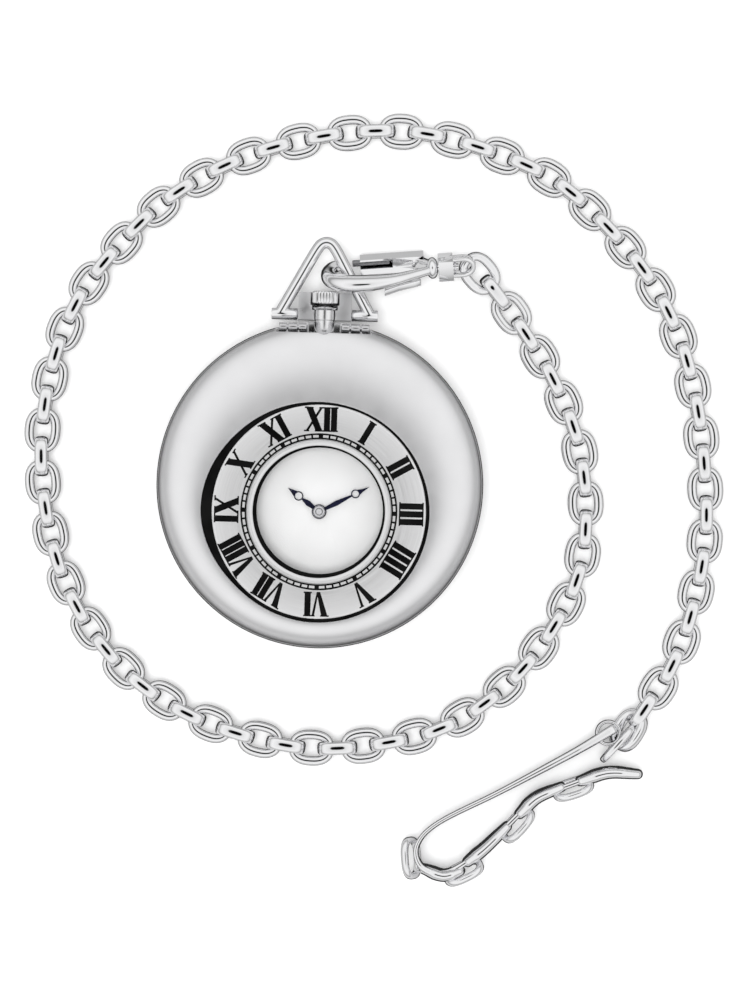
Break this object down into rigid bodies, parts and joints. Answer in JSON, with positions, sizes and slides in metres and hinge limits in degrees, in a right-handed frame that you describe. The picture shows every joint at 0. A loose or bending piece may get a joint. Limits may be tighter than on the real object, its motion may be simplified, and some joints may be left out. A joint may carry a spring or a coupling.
{
  "type": "pocket watch",
  "caption": "Half-hunter pocket watch: hinged lid with a window and numeral ring, two hands, crown and bow, on a link chain with a snap hook and a belt hook.",
  "frame": {"origin": "centre of the flat face of the back cover", "axes": "+Y towards twelve o'clock, +Z out of the dial, +X towards three o'clock"},
  "size_m": [0.1073, 0.1174, 0.0135],
  "materials": {
    "case_steel": "mirror-polished stainless steel",
    "ring_steel": "satin ring with black enamelled numerals",
    "block_steel": "satin steel lug",
    "crown_steel": "polished fluted crown",
    "bow_steel": "polished bent wire",
    "clip_steel": "polished cast snap hook",
    "chain_steel": "polished cable links",
    "belt_hook_steel": "polished cast belt hook",
    "dial_white": "plain matt white dial",
    "hands_black": "blackened steel hands",
    "cap_steel": "polished centre cap",
    "watch_glass": "clear mineral glass",
    "small_steel": "turned steel pins, screws and springs",
    "plate_steel": "plated movement plates",
    "wheel_brass": "gilt brass wheels",
    "rotor_magnet": "sintered magnet",
    "coil_copper": "lacquered copper winding",
    "cell_steel": "button cell can",
    "board_green": "circuit board laminate",
    "chip_black": "moulded chip body",
    "ring_plastic": "moulded movement ring",
    "seal_rubber": "rubber seals"
  },
  "bodies": {
    "chain": {"chain": "chain_steel", "swivel_yoke": "clip_steel", "end_ring": "chain_steel", "belt_hook": "belt_hook_steel"},
    "clip": {"hook_body": "clip_steel", "swivel_washer": "clip_steel", "bolt_spring": "small_steel"},
    "bolt": {"hook_bolt": "clip_steel"},
    "trigger": {"hook_trigger": "clip_steel"},
    "bow": {"bow": "bow_steel"},
    "case": {"case_band": "case_steel", "back_cover": "case_steel", "back_gasket": "seal_rubber", "movement_ring": "ring_plastic", "inner_bezel": "case_steel", "inner_crystal": "watch_glass", "lid_catch": "small_steel", "lid_hinge_pin_left": "small_steel", "lid_hinge_pin_right": "small_steel", "dial": "dial_white", "main_plate": "plate_steel", "train_bridge": "plate_steel", "bridge_screw_1": "small_steel", "bridge_screw_2": "small_steel", "bridge_screw_3": "small_steel", "stator": "small_steel", "coil": "coil_copper", "coil_core": "small_steel", "circuit_board": "board_green", "control_chip": "chip_black", "timing_crystal": "small_steel", "battery": "cell_steel", "battery_clamp": "wheel_brass", "pendant_tube": "case_steel", "pendant_block": "block_steel", "bow_screw_left": "small_steel", "bow_screw_right": "small_steel"},
    "lid": {"lid": "case_steel", "lid_crystal": "watch_glass", "numeral_ring": "ring_steel", "window_bezel": "case_steel"},
    "crown_slide": {"crown_gasket": "seal_rubber"},
    "crown": {"crown": "crown_steel", "winding_stem": "small_steel"},
    "minute_hand": {"minute_hand": "hands_black", "hand_cap": "cap_steel", "cannon_pinion": "wheel_brass"},
    "hour_hand": {"hour_hand": "hands_black", "hour_wheel": "wheel_brass"},
    "minute_wheel": {"minute_wheel": "wheel_brass"},
    "third_wheel": {"third_wheel": "wheel_brass"},
    "intermediate_wheel": {"intermediate_wheel": "wheel_brass"},
    "rotor": {"rotor": "rotor_magnet"}
  },
  "joints": [
    {"name": "swivel_turn", "type": "hinge", "parent": "chain", "child": "clip", "pos_m": [0.0163, 0.03375, 0.00655], "axis": [-0.9954, -0.0958, 0], "range_deg": [0, 60]},
    {"name": "trigger_pull", "type": "hinge", "parent": "clip", "child": "trigger", "pos_m": [0.01389, 0.03161, 0.00654], "axis": [0.0854, -0.8869, -0.454], "range_deg": [0, 15]},
    {"name": "bolt_slide", "type": "slide", "parent": "clip", "child": "bolt", "axis": [0.9954, 0.0958, 0], "range_m": [0, 0.003], "stiffness_N_per_m": 2, "springref_m": -0.003},
    {"name": "bow_on_hook", "type": "hinge", "parent": "clip", "child": "bow", "pos_m": [0.00367, 0.0321, 0.0062], "axis": [-0.4785, 0.8781, 0], "range_deg": [0, 9]},
    {"name": "bow_swing", "type": "hinge", "parent": "bow", "child": "case", "pos_m": [0, 0.0261, 0.0062], "axis": [-1, 0, 0], "range_deg": [0, 35]},
    {"name": "lid_hinge", "type": "hinge", "parent": "case", "child": "lid", "pos_m": [0, 0.0241, 0.0091], "axis": [-1, 0, 0], "range_deg": [0, 85]},
    {"name": "crown_pull", "type": "slide", "parent": "case", "child": "crown_slide", "axis": [0, 1, 0], "range_m": [0, 0.00035]},
    {"name": "crown_turn", "type": "hinge", "parent": "crown_slide", "child": "crown", "pos_m": [0, 0.0277, 0.007], "axis": [0, 1, 0], "continuous": true},
    {"name": "minute_turn", "type": "hinge", "parent": "case", "child": "minute_hand", "pos_m": [0, -0.0041, 0.0095], "axis": [0, 0, -1], "continuous": true},
    {"name": "hour_turn", "type": "hinge", "parent": "case", "child": "hour_hand", "pos_m": [0, -0.0041, 0.0091], "axis": [0, 0, -1], "continuous": true},
    {"name": "minute_wheel_turn", "type": "hinge", "parent": "case", "child": "minute_wheel", "pos_m": [0.00185, -0.00631, 0.0045], "axis": [0, 0, -1], "continuous": true},
    {"name": "third_wheel_turn", "type": "hinge", "parent": "case", "child": "third_wheel", "pos_m": [-0.00286, -0.00514, 0.0045], "axis": [0, 0, -1], "continuous": true},
    {"name": "intermediate_wheel_turn", "type": "hinge", "parent": "case", "child": "intermediate_wheel", "pos_m": [-0.00571, -0.00618, 0.0045], "axis": [0, 0, -1], "continuous": true},
    {"name": "rotor_turn", "type": "hinge", "parent": "case", "child": "rotor", "pos_m": [-0.00857, -0.00722, 0.0045], "axis": [0, 0, -1], "continuous": true}
  ],
  "couplings": [
    {"joint": "trigger_pull", "follows": "bolt_slide", "rad_per_m": 87.266},
    {"joint": "hour_turn", "follows": "minute_turn", "ratio": 0.083333},
    {"joint": "minute_wheel_turn", "follows": "minute_turn", "ratio": -0.33333},
    {"joint": "third_wheel_turn", "follows": "minute_turn", "ratio": -3},
    {"joint": "intermediate_wheel_turn", "follows": "minute_turn", "ratio": 9},
    {"joint": "rotor_turn", "follows": "minute_turn", "ratio": -27}
  ]
}
